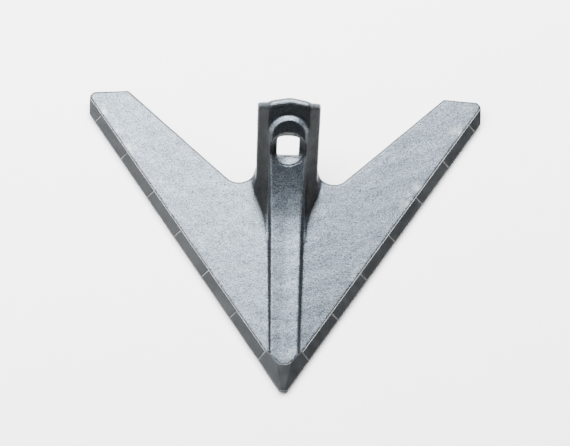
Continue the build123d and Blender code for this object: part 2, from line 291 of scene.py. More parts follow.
@dataclass
class SurfaceNet:
    """Turns a signed distance into a closed mesh of even quads.

    Attributes:
        low: lowest corner of the grid.
        high: highest corner of the grid.
        step: size of a grid cell.
        block: cells along a block, the unit in which far space is skipped.
        near: distance to a block's middle, in blocks, that needs its exact values.
        batch: number of blocks worked out together.
        probe: length over which the distance's slope is measured.
        rounds: number of moves that settle a vertex on the surface.
        stride: longest of these moves, in cells.
        flattest: smallest squared slope that a move trusts.
    """

    low: tuple[float, float, float]
    high: tuple[float, float, float]
    step: float
    block: int = 6
    near: float = 1.25
    batch: int = 4000
    probe: float = 0.05
    rounds: int = 3
    stride: float = 0.4
    flattest: float = 0.25

    def build(self, distance: Field) -> tuple[np.ndarray, np.ndarray]:
        """Vertices and quads of the surface where a distance is zero.

        Args:
            distance: function of X, Y and Z arrays, symmetric in X.

        Returns:
            Vertex array and quad index array.
        """
        step = self.step
        half = np.arange(0.5 * step, self.high[0] + step, step)
        xs = np.concatenate([-half[::-1], half])
        ys = np.arange(self.low[1], self.high[1] + step, step)
        zs = np.arange(self.low[2], self.high[2] + step, step)
        right = self._fill(distance, half, ys, zs)
        values = np.concatenate([right[::-1], right])
        inside = values < 0
        corners = [(i, j, k) for i in (0, 1) for j in (0, 1) for k in (0, 1)]
        count = np.zeros(tuple(n - 1 for n in values.shape), np.int8)
        for i, j, k in corners:
            count += self._shift(inside, i, j, k)
        cells = np.argwhere((count > 0) & (count < 8))
        number = np.full(count.shape, -1, np.int32)
        number[tuple(cells.T)] = np.arange(len(cells), dtype=np.int32)
        points = self._crossings(values, cells)
        origin = np.array([xs[0], ys[0], zs[0]], np.float32)
        vertices = origin + points * step
        return self._settle(distance, vertices), self._quads(inside, number)

    def _fill(self, distance: Field, *lines: np.ndarray) -> np.ndarray:
        """Works out distances on a grid, exactly only in the blocks near the surface.

        Args:
            distance: function of X, Y and Z arrays.
            lines: the grid's coordinates along each axis.

        Returns:
            Distances at the grid's corners.
        """
        block = self.block
        counts = [math.ceil(len(line) / block) for line in lines]
        middles = [
            line[0] + (np.arange(count) * block + (block - 1) / 2) * self.step
            for line, count in zip(lines, counts)
        ]
        coarse = distance(*np.meshgrid(*middles, indexing="ij"))
        values = coarse.astype(np.float32)
        for axis in range(3):
            values = np.repeat(values, block, axis=axis)
        near = np.argwhere(np.abs(coarse) < self.near * block * self.step)
        offsets = np.argwhere(np.ones((block,) * 3, bool))
        for start in range(0, len(near), self.batch):
            index = near[start:start + self.batch, None, :] * block + offsets[None]
            index = index.reshape(-1, 3)
            spots = [lines[axis][0] + index[:, axis] * self.step for axis in range(3)]
            values[tuple(index.T)] = distance(*spots)
        return values[tuple(slice(0, len(line)) for line in lines)]

    @staticmethod
    def _shift(array: np.ndarray, i: int, j: int, k: int) -> np.ndarray:
        """The array's values at one corner of every cell."""
        nx, ny, nz = array.shape
        return array[i:nx - 1 + i, j:ny - 1 + j, k:nz - 1 + k]

    @staticmethod
    def _crossings(values: np.ndarray, cells: np.ndarray) -> np.ndarray:
        """Finds the mean of the zero crossings on each cell's edges.

        Args:
            values: distances at the grid's corners.
            cells: indices of the cells that the surface passes through.

        Returns:
            One point for each cell, in cell units.
        """
        total = np.zeros((len(cells), 3), np.float32)
        count = np.zeros(len(cells), np.float32)
        for axis in range(3):
            others = [a for a in range(3) if a != axis]
            for first in (0, 1):
                for second in (0, 1):
                    base = cells.copy()
                    base[:, others[0]] += first
                    base[:, others[1]] += second
                    tip = base.copy()
                    tip[:, axis] += 1
                    a = values[tuple(base.T)]
                    b = values[tuple(tip.T)]
                    crosses = (a < 0) != (b < 0)
                    share = np.where(crosses, a / np.where(crosses, a - b, 1), 0)
                    spot = base.astype(np.float32)
                    spot[:, axis] += share
                    total += np.where(crosses[:, None], spot, 0)
                    count += crosses
        return total / count[:, None]

    def _settle(self, distance: Field, points: np.ndarray) -> np.ndarray:
        """Moves points onto the surface along the distance's gradient.

        Args:
            distance: function of X, Y and Z arrays, symmetric in X.
            points: points near the surface.

        Returns:
            The moved points.
        """
        points = points.astype(np.float64)
        limit = self.stride * self.step
        for _ in range(self.rounds):
            here = distance(np.abs(points[:, 0]), points[:, 1], points[:, 2])
            slope = np.empty_like(points)
            for axis in range(3):
                moved = points.copy()
                moved[:, axis] += self.probe
                there = distance(np.abs(moved[:, 0]), moved[:, 1], moved[:, 2])
                slope[:, axis] = (there - here) / self.probe
            steep = np.maximum((slope ** 2).sum(axis=1), self.flattest)
            points += np.clip(-(here / steep)[:, None] * slope, -limit, limit)
        return points

    @staticmethod
    def _quads(inside: np.ndarray, number: np.ndarray) -> np.ndarray:
        """Lays a quad round every grid edge that crosses the surface, facing outwards.

        Args:
            inside: which of the grid's corners are inside.
            number: each cell's vertex number.

        Returns:
            Vertex numbers of the quads.
        """
        quads = []
        for axis in range(3):
            b, c = (axis + 1) % 3, (axis + 2) % 3
            low = [slice(None)] * 3
            high = [slice(None)] * 3
            low[axis], high[axis] = slice(0, -1), slice(1, None)
            start, end = inside[tuple(low)], inside[tuple(high)]
            edges = np.argwhere(start != end)
            keep = np.ones(len(edges), bool)
            for other in (b, c):
                keep &= (edges[:, other] > 0) & (edges[:, other] < inside.shape[other] - 1)
            edges = edges[keep]
            ring = []
            for db, dc in ((1, 1), (0, 1), (0, 0), (1, 0)):
                cell = edges.copy()
                cell[:, b] -= db
                cell[:, c] -= dc
                ring.append(number[tuple(cell.T)])
            ring = np.stack(ring, axis=1)
            outward = start[tuple(edges.T)]
            ring[~outward] = ring[~outward][:, ::-1]
            quads.append(ring)
        return np.concatenate(quads)


def mesh_object(
    name: str, vertices: np.ndarray, faces: Iterable[Iterable[int]], smooth: bool = True
) -> bpy.types.Object:
    """Makes an object at the origin.

    Args:
        name: name of the object and its mesh.
        vertices: points in millimetres.
        faces: vertex numbers of each face.
        smooth: whether the faces are shaded smooth.

    Returns:
        The new object, linked to the scene.
    """
    mesh = bpy.data.meshes.new(name)
    mesh.from_pydata((np.asarray(vertices) * MM).tolist(), [], [list(face) for face in faces])
    mesh.validate()
    mesh.update()
    if smooth:
        mesh.shade_smooth()
    piece = bpy.data.objects.new(name, mesh)
    bpy.context.scene.collection.objects.link(piece)
    return piece


def settle_piece(piece: bpy.types.Object, slot: Slot, *nodes: str) -> None:
    """Rides a piece on the body and hides the CAD nodes that it stands for.

    Args:
        piece: the finished piece.
        slot: not used.
        nodes: the CAD nodes that it replaces.
    """
    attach(piece, BODY)
    if nodes:
        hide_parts(*nodes)
    LOG.info("%s: %d faces", piece.name, len(piece.data.polygons))


# --- finishes ----------------------------------------------------------------------
Colour = tuple[float, float, float]
Socket = bpy.types.NodeSocket


@dataclass(frozen=True)
class Grain:
    """A noise in object space and the values that it is mapped to.

    Attributes:
        scale: waves per metre.
        detail: number of octaves.
        rough: strength of the finer octaves.
        shift: moves the pattern, so that two grains of one scale differ.
        stretch: how much the pattern is squeezed along each axis.
        span: the noise's values that become the two ends.
        ends: lowest and highest value of the mapped grain.
    """

    scale: float
    detail: float
    rough: float = 0.5
    shift: float = 0.0
    stretch: tuple[float, float, float] = (1.0, 1.0, 1.0)
    span: tuple[float, float] = (0.3, 0.7)
    ends: tuple[float, float] = (0.0, 1.0)


@dataclass(frozen=True)
class Relief:
    """A grain that dents the surface, with its depth in metres and its strength."""

    grain: Grain
    depth: float
    strength: float


class NodeTree:
    """Short-hand for building a material's nodes."""

    def __init__(self, name: str) -> None:
        """Starts a material that holds only its output and a Principled shader.

        Args:
            name: name of the material.
        """
        self.material = bpy.data.materials.new(name)
        self.material.use_nodes = True
        self.tree = self.material.node_tree
        self.tree.nodes.clear()
        output = self.add("ShaderNodeOutputMaterial")
        self.shader = self.add("ShaderNodeBsdfPrincipled")
        self.feed(self.shader.outputs["BSDF"], output.inputs["Surface"])
        self.place = self.add("ShaderNodeTexCoord").outputs["Object"]

    def add(self, kind: str, **settings: object) -> bpy.types.Node:
        """Adds a node and sets its properties.

        Args:
            kind: Blender's name of the node type.
            settings: properties of the node.

        Returns:
            The new node.
        """
        node = self.tree.nodes.new(kind)
        for key, value in settings.items():
            setattr(node, key, value)
        return node

    def feed(self, value: Socket | float | Colour, target: Socket) -> None:
        """Joins a socket to an input, or sets the input to a number or a colour.

        Args:
            value: what the input is to have.
            target: the input.
        """
        if isinstance(value, Socket):
            self.tree.links.new(value, target)
        elif isinstance(value, tuple):
            target.default_value = (*value, 1.0)
        else:
            target.default_value = value

    def put(self, name: str, value: Socket | float | Colour) -> None:
        """Feeds an input of the shader."""
        self.feed(value, self.shader.inputs[name])

    def attribute(self, name: str) -> Socket:
        """Value of one of the mesh's attributes."""
        return self.add("ShaderNodeAttribute", attribute_name=name).outputs["Fac"]

    def noise(self, grain: Grain) -> Socket:
        """Raw noise of a grain.

        Args:
            grain: the pattern.

        Returns:
            The noise's value.
        """
        mapping = self.add("ShaderNodeMapping")
        mapping.inputs["Scale"].default_value = grain.stretch
        mapping.inputs["Location"].default_value = (grain.shift, grain.shift, grain.shift)
        self.feed(self.place, mapping.inputs["Vector"])
        node = self.add("ShaderNodeTexNoise")
        self.feed(grain.scale, node.inputs["Scale"])
        self.feed(grain.detail, node.inputs["Detail"])
        self.feed(grain.rough, node.inputs["Roughness"])
        self.feed(mapping.outputs["Vector"], node.inputs["Vector"])
        return node.outputs["Fac"]

    def value(self, grain: Grain) -> Socket:
        """Noise of a grain, mapped to its ends.

        Args:
            grain: the pattern.

        Returns:
            The mapped value.
        """
        node = self.add("ShaderNodeMapRange")
        keys = ("From Min", "From Max", "To Min", "To Max")
        for key, number in zip(keys, (*grain.span, *grain.ends)):
            self.feed(number, node.inputs[key])
        self.feed(self.noise(grain), node.inputs["Value"])
        return node.outputs["Result"]

    def mix(self, share: Socket, first: Socket | Colour, second: Socket | Colour) -> Socket:
        """Colour between two colours.

        Args:
            share: share of the second colour.
            first: colour at a share of 0.
            second: colour at a share of 1.

        Returns:
            The mixed colour.
        """
        node = self.add("ShaderNodeMix", data_type="RGBA")
        factor, colours = node.inputs[0], node.inputs[6:8]   # the RGBA sockets of a Mix node
        self.feed(share, factor)
        for value, target in zip((first, second), colours):
            self.feed(value, target)
        return node.outputs[2]

    def calc(self, operation: str, first: Socket, second: Socket | float) -> Socket:
        """Result of a calculation on two values.

        Args:
            operation: Blender's name of the operation.
            first: first value.
            second: second value.

        Returns:
            The result.
        """
        node = self.add("ShaderNodeMath", operation=operation)
        for value, target in zip((first, second), node.inputs):
            self.feed(value, target)
        return node.outputs["Value"]

    def bump(self, relief: Relief, under: Socket | None = None) -> Socket:
        """Normal of a dented surface.

        Args:
            relief: the dents.
            under: normal that the dents lie on, if it isn't the mesh's own.

        Returns:
            The new normal.
        """
        node = self.add("ShaderNodeBump")
        self.feed(relief.depth, node.inputs["Distance"])
        self.feed(relief.strength, node.inputs["Strength"])
        self.feed(self.noise(relief.grain), node.inputs["Height"])
        if under is not None:
            self.feed(under, node.inputs["Normal"])
        return node.outputs["Normal"]


@dataclass(frozen=True)
class BlastedSteel:
    """Shot-blasted forged steel, light and finely pitted, with painted shade in near-black where
    the body marks it.
    """

    light: Colour = (0.150, 0.176, 0.205)
    dark: Colour = (0.044, 0.054, 0.066)
    stain: Colour = (0.13, 0.13, 0.13)
    # Near-black colour of the painted shade on surfaces turned from the light.
    scale: Colour = (0.0185, 0.0200, 0.0205)
    rub: Colour = (0.27, 0.295, 0.31)
    metallic: float = 0.9
    cloud_share: float = 0.22
    stain_share: float = 0.35
    # Lower roughness under the painted shade.
    painted_shade_polish: float = -0.1
    speckle: Grain = Grain(1300.0, 2.0, 0.6, span=(0.34, 0.6))
    cloud: Grain = Grain(45.0, 4.0, 0.55, 0.3, span=(0.35, 0.7))
    smear: Grain = Grain(160.0, 5.0, 0.7, 1.7, span=(0.62, 0.72))
    streak: Grain = Grain(110.0, 5.0, 0.65, 5.3, span=(0.54, 0.66), ends=(0.0, 0.75))
    patches: Grain = Grain(150.0, 4.0, shift=3.1, ends=(0.92, 1.02))
    roughness: Grain = Grain(240.0, 3.0, 0.6, 2.1, ends=(0.4, 0.52))
    pits: Relief = Relief(Grain(1300.0, 3.0, 0.65), 0.00022, 0.55)
    waves: Relief = Relief(Grain(260.0, 3.0, 0.5, 0.9), 0.0005, 0.35)

    def material(self) -> bpy.types.Material:
        """Builds the finish's nodes.

        Returns:
            The new material.
        """
        net = NodeTree("blasted_steel")
        # The body's share of painted shade, lifted where highlights are painted.
        shade_cover = net.attribute("painted_shade_share")
        pale = net.mix(net.value(self.speckle), self.dark, self.light)
        cloud = net.calc("MULTIPLY", net.value(self.cloud), self.cloud_share)
        smear = net.calc("MULTIPLY", net.value(self.smear), self.stain_share)
        worn = net.mix(smear, net.mix(cloud, pale, self.dark), self.stain)
        streak = net.calc("MULTIPLY", net.attribute("edge_rub"), net.value(self.streak))
        rubbed = net.mix(streak, worn, self.rub)
        # Painted shade: the near-black colour laid over the steel by that share, broken up in
        # patches.
        scale = net.calc("MULTIPLY", shade_cover, net.value(self.patches))
        polish = net.calc("MULTIPLY", shade_cover, self.painted_shade_polish)
        net.put("Base Color", net.mix(scale, rubbed, self.scale))
        net.put("Metallic", self.metallic)
        net.put("Roughness", net.calc("ADD", net.value(self.roughness), polish))
        net.put("Normal", net.bump(self.waves, net.bump(self.pits)))
        return net.material


@dataclass(frozen=True)
class SinteredCarbide:
    """Smooth dark tungsten carbide with grinding marks, a little different on each tile."""

    light: Colour = (0.070, 0.075, 0.079)
    dark: Colour = (0.036, 0.039, 0.042)
    metallic: float = 0.75
    tile_share: float = 0.5
    cloud: Grain = Grain(70.0, 3.0, span=(0.35, 0.65), ends=(0.0, 0.5))
    roughness: Grain = Grain(180.0, 4.0, 0.6, 0.4, ends=(0.3, 0.46))
    grind: Relief = Relief(Grain(900.0, 3.0, 0.6, stretch=(1.0, 0.15, 1.0)), 0.00005, 0.5)
    waves: Relief = Relief(Grain(110.0, 2.0, 0.4, 1.2), 0.0005, 0.3)

    def material(self) -> bpy.types.Material:
        """Builds the finish's nodes.

        Returns:
            The new material.
        """
        net = NodeTree("sintered_carbide")
        tile = net.calc("MULTIPLY", net.attribute("tile_shade"), self.tile_share)
        shade = net.calc("ADD", net.value(self.cloud), tile)
        net.put("Base Color", net.mix(shade, self.dark, self.light))
        net.put("Metallic", self.metallic)
        net.put("Roughness", net.value(self.roughness))
        net.put("Normal", net.bump(self.waves, net.bump(self.grind)))
        return net.material


@dataclass(frozen=True)
class BrazeMetal:
    """Dull silver-grey brazing alloy."""

    light: Colour = (0.20, 0.203, 0.202)
    dark: Colour = (0.10, 0.102, 0.101)
    metallic: float = 0.8
    cloud: Grain = Grain(420.0, 4.0, 0.6, span=(0.35, 0.65))
    roughness: Grain = Grain(500.0, 3.0, 0.5, 0.7, ends=(0.4, 0.6))
    pits: Relief = Relief(Grain(800.0, 3.0, 0.6), 0.0002, 0.5)

    def material(self) -> bpy.types.Material:
        """Builds the finish's nodes.

        Returns:
            The new material.
        """
        net = NodeTree("braze_metal")
        net.put("Base Color", net.mix(net.value(self.cloud), self.dark, self.light))
        net.put("Metallic", self.metallic)
        net.put("Roughness", net.value(self.roughness))
        net.put("Normal", net.bump(self.pits))
        return net.material


@dataclass(frozen=True)
class FloorPaint:
    """Matt pale paint with faint clouds."""

    light: Colour = (0.95, 0.95, 0.95)
    dark: Colour = (0.93575, 0.93575, 0.9405)
    roughness: float = 0.9
    cloud: Grain = Grain(30.0, 2.0)

    def material(self) -> bpy.types.Material:
        """Builds the finish's nodes.

        Returns:
            The new material.
        """
        net = NodeTree("floor_paint")
        net.put("Base Color", net.mix(net.value(self.cloud), self.light, self.dark))
        net.put("Roughness", self.roughness)
        return net.material


# --- forged body ---------------------------------------------------------------------
@dataclass(frozen=True)
class Place:
    """A set of points of the right half, in the measures that the body's shapes use.

    Attributes:
        x: distance from the centre line.
        z: height.
        reach: distance behind the apex.
        inward: distance in plan from the cutting edge.
        run: distance along the spine.
        out: distance out of the spine's face.
        stem_run: distance along the straight stem's plane.
        stem_out: distance out of that plane.
    """

    x: np.ndarray
    z: np.ndarray
    reach: np.ndarray
    inward: np.ndarray
    run: np.ndarray
    out: np.ndarray
    stem_run: np.ndarray
    stem_out: np.ndarray


@dataclass
class ForgedBody:
    """Both wings, centre rib and stem, one forging with soft transitions.

    Methods that take a Place return signed distances, negative inside the shape that they
    name. A field that ends in _round or _radius is the radius of an edge.
    """

    edge: EdgeLine
    spine: Spine
    finish: BlastedSteel
    wing_thickness: float = 7.0
    wing_round: float = 1.1
    underside_round: float = 0.5
    wing_end_inner: float = 91.7
    wing_end_chamfer: float = 2.2
    chamfer_round: float = 0.6
    chamfer_cosine: float = 0.5
    trailing_angle: float = 42.7
    trailing_round: float = 1.5
    valley_radius: float = 10.5
    valley_land: float = 1.0
    web_inset: float = 1.5
    tip_radius: float = 1.2
    rib_width_nose: float = 13.8
    rib_width_bend: float = 15.8
    rib_valley: float = 1.0
    rib_valley_round: float = 1.0
    rib_round: float = 0.4
    rib_root: float = 6.0
    rib_blend: float = 0.7
    stem_width: float = 34.4
    stem_lead: float = 4.0
    stem_round: float = 1.1
    bar_round: float = 1.0
    stem_end_reach: float = 152.8
    stem_end_height: float = 51.8
    stem_end_radius: float = 3.5
    end_lean: float = 20.0
    end_peak: float = 0.19
    peak_round: float = 2.0
    tongue_width: float = 18.0
    tongue_height: float = 2.5
    tongue_end: float = 22.8
    wall_draft: float = 33.0
    shoulder_radius: float = 3.0
    flank_drop: float = 5.5
    stem_wall: float = 5.0
    channel_width: float = 25.5
    channel_depth: float = 5.5
    channel_round: float = 1.5
    root_blend: float = 4.0
    hole_at: float = 5.8
    hole_round: float = 0.5
    square_size: float = 12.0
    square_radius: float = 1.5
    countersink: float = 19.4
    rim: float = 1.2
    nose_seam_at: float = 23.85
    seam_width: float = 0.7
    nose_seam_slant: float = 12.0
    notch_corner: tuple[float, float] = (8.3, 21.7)
    notch_vertex: float = 13.2
    notch_radius: float = 6.0
    seat_round: float = 0.3
    waviness: float = 0.05
    wave_length: float = 14.0
    wave_seed: int = 5
    grid: float = 0.72
    coarse_grid: float = 1.0
    grid_margin: float = 1.0

    @property
    def valley_run(self) -> float:
        """How far the valley's rounding reaches up the side of the stem."""
        turn = math.radians(90 - self.trailing_angle)
        return self.valley_radius / math.tan(turn / 2) + self.valley_land

    @property
    def shoulder_half(self) -> float:
        """Half width of the stem's flat shoulder."""
        return self.tongue_width / 2 + self.tongue_height * math.tan(math.radians(self.wall_draft))

    @property
    def flank_run(self) -> float:
        """Width of the stem's sloping flank, seen square to its face."""
        return self.stem_width / 2 - self.shoulder_half

    @property
    def channel_floor(self) -> float:
        """Depth of the shank channel's floor below the tongue's face."""
        return -self.tongue_height - self.stem_wall

    @property
    def stem_back(self) -> float:
        """Depth of the stem's back below the tongue's face."""
        return self.channel_floor - self.channel_depth

    @property
    def bolt_run(self) -> float:
        """Place of the bolt hole's centre along the spine."""
        return self.spine.stem_run + self.hole_at

    @property
    def tongue_centre(self) -> float:
        """Place along the spine of the centre of the tongue's round end."""
        return self.spine.stem_run + self.tongue_end - self.tongue_width / 2

    def place(self, x: np.ndarray, y: np.ndarray, z: np.ndarray) -> Place:
        """Works out the measures of a set of points.

        Args:
            x: distances from the centre line.
            y: row Y.
            z: heights.

        Returns:
            The same points with all their measures.
        """
        reach = y - self.edge.apex_y
        inward = reach * self.edge.sin - x * self.edge.cos
        local = self.spine.local(reach, z)
        return Place(x, z, reach, inward, *local, *self.spine.stem_local(reach, z))

    def trail(self, at: Place) -> np.ndarray:
        """Plan of the wing from its trailing edge, the valley and the wing's end.

        Args:
            at: points to measure.

        Returns:
            Signed distances.
        """
        trail = math.radians(self.trailing_angle)
        wing_reach = self.edge.wing_reach
        root = self.stem_width / 2 - self.web_inset
        root_reach = wing_reach - (self.wing_end_inner - root) * math.tan(trail)
        trailing = (at.reach - root_reach) * math.cos(trail) - (at.x - root) * math.sin(trail)
        strip = np.maximum(at.x - root, at.reach - root_reach - self.valley_run)
        valley = -round_max(-trailing, -strip, self.valley_radius, -math.sin(trail))
        end = at.reach - wing_reach
        trim = at.x - self.edge.half_width
        corner = (trim + end + self.wing_end_chamfer) / math.sqrt(2)
        back = round_max(valley, end, self.trailing_round, math.cos(trail))
        return round_max(back, np.maximum(corner, trim), self.chamfer_round, self.chamfer_cosine)

    def wing(self, at: Place) -> tuple[np.ndarray, np.ndarray]:
        """The right wing, and the space above its underside.

        Args:
            at: points to measure.

        Returns:
            Signed distances of both.
        """
        edge = self.edge
        rake = math.radians(edge.wing_rake)
        top_height = edge.wing_edge_top + (at.inward - edge.seat_depth) * math.tan(rake)
        top = (at.z - top_height) * math.cos(rake)
        under = np.maximum(-at.z, (top_height - self.wing_thickness - at.z) * math.cos(rake))
        front = round_max(-at.inward, edge.tip_setback - at.reach, self.tip_radius, edge.sin)
        solid = round_max(top, np.maximum(self.trail(at), front), self.wing_round)
        return round_max(solid, under, self.underside_round), under

    def end(self, at: Place) -> np.ndarray:
        """Space before the stem's leaning end, which has a blunt peak in its middle.

        Args:
            at: points to measure.

        Returns:
            Signed distances.
        """
        lean = math.radians(self.end_lean)
        beyond = (at.reach - self.stem_end_reach) * math.cos(lean)
        above = (at.z - self.stem_end_height) * math.sin(lean)
        across = np.sqrt(at.x * at.x + self.peak_round ** 2) - self.peak_round
        return beyond + above + self.end_peak * np.minimum(across, self.shoulder_half)

    def flank(self, at: Place) -> np.ndarray:
        """Space behind the plane of the stem's sloping flank.

        Args:
            at: points to measure.

        Returns:
            Signed distances.
        """
        shoulder = at.out + self.tongue_height
        slope = (at.x - self.shoulder_half) * self.flank_drop + shoulder * self.flank_run
        return slope / math.hypot(self.flank_run, self.flank_drop)

    def stem(self, at: Place) -> np.ndarray:
        """Wing and stem together, without the tongue.

        The stem is a hat-shaped bar. Each wing sweeps up to its side and stops at the
        plane of its sloping flank.

        Args:
            at: points to measure.

        Returns:
            Signed distances.
        """
        wing, under = self.wing(at)
        turn = self.flank_run / math.hypot(self.flank_run, self.flank_drop)
        front = round_max(at.out + self.tongue_height, self.flank(at), self.shoulder_radius, turn)
        start = self.spine.straight - self.stem_lead - at.run
        bar = round_max(start, self.stem_back - at.stem_out, self.bar_round)
        end = self.end(at)
        core = round_max(np.maximum(at.x - self.stem_width / 2, bar), end, self.bar_round)
        gusset = blend_min(wing, np.maximum(core, under), self.root_blend)
        wedge = math.cos(math.radians(90 - self.end_lean + self.spine.stem_angle))
        top = round_max(front, end, self.stem_end_radius, wedge)
        return np.minimum(wing, round_max(np.maximum(gusset, under), top, self.stem_round))

    def tongue(self, at: Place) -> tuple[np.ndarray, np.ndarray]:
        """Spaces behind the face and inside the side wall of the rib and tongue.

        Args:
            at: points to measure.

        Returns:
            Signed distances of both.
        """
        spine = self.spine
        lower = fade(at.run, 0, spine.straight)
        upper = fade(at.run, spine.straight, spine.stem_run)
        width = self.rib_width_nose + lower * (self.rib_width_bend - self.rib_width_nose)
        width = width + upper * (self.tongue_width - self.rib_width_bend)
        across = np.hypot(at.x, np.maximum(at.run - self.tongue_centre, 0))
        draft = math.radians(self.wall_draft)
        wall = (across - width / 2 + at.out * math.tan(draft)) * math.cos(draft)
        middle = np.sqrt(at.x * at.x + self.rib_valley_round ** 2)
        slope = np.maximum(1 - middle / (width / 2), 0)
        return at.out + self.rib_valley * (1 - upper) * slope, wall

    def rib(self, at: Place) -> np.ndarray:
        """The rib and the tongue that it becomes, within the cutting edges.

        Args:
            at: points to measure.

        Returns:
            Signed distances.
        """
        face, wall = self.tongue(at)
        solid = round_max(face, wall, self.rib_round, math.sin(math.radians(self.wall_draft)))
        outline = np.maximum(-at.inward, self.edge.tip_setback - at.reach)
        return np.maximum.reduce([solid, -at.out - self.rib_root, outline])

    def openings(self, at: Place) -> np.ndarray:
        """The countersunk square bolt hole and the shank channel.

        Args:
            at: points to measure.

        Returns:
            Signed distances.
        """
        along = at.stem_run - self.bolt_run
        half = self.square_size / 2 - self.square_radius
        corner = np.hypot(np.maximum(at.x - half, 0), np.maximum(np.abs(along) - half, 0))
        head = np.hypot(at.x, along) - self.countersink / 2
        cone = (head - self.rim - at.stem_out) / math.sqrt(2)
        hole = np.minimum(corner - self.square_radius, np.maximum(head, cone))
        wall, floor = at.x - self.channel_width / 2, at.stem_out - self.channel_floor
        return np.minimum(hole, round_max(wall, floor, self.channel_round))

    def seats(self, at: Place) -> np.ndarray:
        """The steps that hold the edge tiles and the nose tile.

        Args:
            at: points to measure.

        Returns:
            Signed distances.
        """
        edge = self.edge
        tilt = math.radians(edge.seat_angle)
        floor = (edge.lip_height + at.inward * math.tan(tilt) - at.z) * math.cos(tilt)
        band = np.maximum(at.inward - edge.seat_depth, floor)
        slant = math.radians(self.nose_seam_slant)
        along = at.x * edge.sin + at.reach * edge.cos - self.nose_seam_at - self.seam_width / 2
        seam = (along - at.inward * math.tan(slant)) * math.cos(slant)
        rise = math.atan2(self.notch_corner[1] - self.notch_vertex, self.notch_corner[0])
        middle = (at.reach - self.notch_vertex) * math.cos(rise) - edge.braze_gap
        sway = at.x * math.sin(rise)
        notch = -round_max(-middle - sway, sway - middle, self.notch_radius, math.cos(2 * rise))
        nose = np.maximum(np.maximum(seam, notch), edge.lip_height - at.z)
        return np.minimum(band, nose)

    def distance(self, x: np.ndarray, y: np.ndarray, z: np.ndarray) -> np.ndarray:
        """Signed distance to the whole body.

        Args:
            x: distances from the centre line.
            y: row Y.
            z: heights.

        Returns:
            Distances in millimetres, negative inside.
        """
        at, edge = self.place(x, y, z), self.edge
        solid = blend_min(self.stem(at), self.rib(at), self.rib_blend)
        solid = solid + self.waviness * ripple(x, y, z, self.wave_length, self.wave_seed)
        solid = round_max(solid, -self.openings(at), self.hole_round)
        solid = round_max(solid, -self.seats(at), self.seat_round)
        behind, before = at.reach - edge.wing_reach, edge.tip_setback - at.reach
        return np.maximum.reduce([solid, -z, x - edge.half_width, behind, before])

    def build(self) -> None:
        """Meshes the body and stands it in for its CAD node."""
        low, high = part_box("sweep_body")
        net = SurfaceNet(
            tuple(value / MM - self.grid_margin for value in low),
            tuple(value / MM + self.grid_margin for value in high),
            self.grid,
        )
        vertices, quads = net.build(self.distance)
        piece = mesh_object("forged_body", vertices, quads)
        at = self.place(np.abs(vertices[:, 0]), vertices[:, 1], vertices[:, 2])
        shade_and_wear = ShadeAndWear(self)
        # The first attribute holds painted shade and painted highlights, the second real rubbing
        # beside the tiles.
        for name, values in (
            ("painted_shade_share", shade_and_wear.scale(at)),
            ("edge_rub", shade_and_wear.rub(at)),
        ):
            attribute = piece.data.attributes.new(name, "FLOAT", "POINT")
            attribute.data.foreach_set("value", values.astype(np.float32))
        piece.data.materials.append(self.finish.material())
        settle_piece(piece, Slot.STEEL, "sweep_body")


